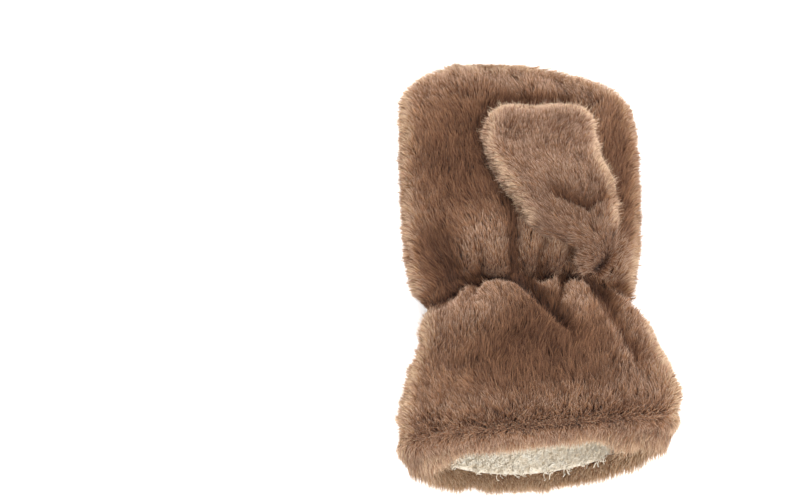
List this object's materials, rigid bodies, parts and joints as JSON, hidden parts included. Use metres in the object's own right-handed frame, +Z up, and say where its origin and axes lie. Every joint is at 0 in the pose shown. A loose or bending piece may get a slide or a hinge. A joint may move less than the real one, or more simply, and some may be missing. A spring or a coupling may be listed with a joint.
{
  "type": "faux-fur mitten",
  "caption": "Winter mitten in deep brown faux fur with a gathered wrist, a flared cuff with a turned hem, a thumb laid on the palm and a curly cream lining.",
  "frame": {"origin": "middle of the bounding box in plan, on the surface that the mitten lies on", "axes": "+Y runs from the cuff's mouth to the fingertips, +X to the thumb side, +Z up, with the palm up and the back of the hand down"},
  "size_m": [0.1848, 0.2804, 0.0902],
  "materials": {
    "fur": "deep soft faux-fur pile, darker in the folds and paler at the tips",
    "sherpa": "curly cream sherpa",
    "leather": "smooth brown leather, matt"
  },
  "bodies": {
    "root": {"hand_shell": "fur", "cuff_shell": "fur", "thumb_shell": "fur", "hand_lining": "sherpa", "thumb_lining": "sherpa", "cuff_label": "leather"}
  },
  "joints": []
}
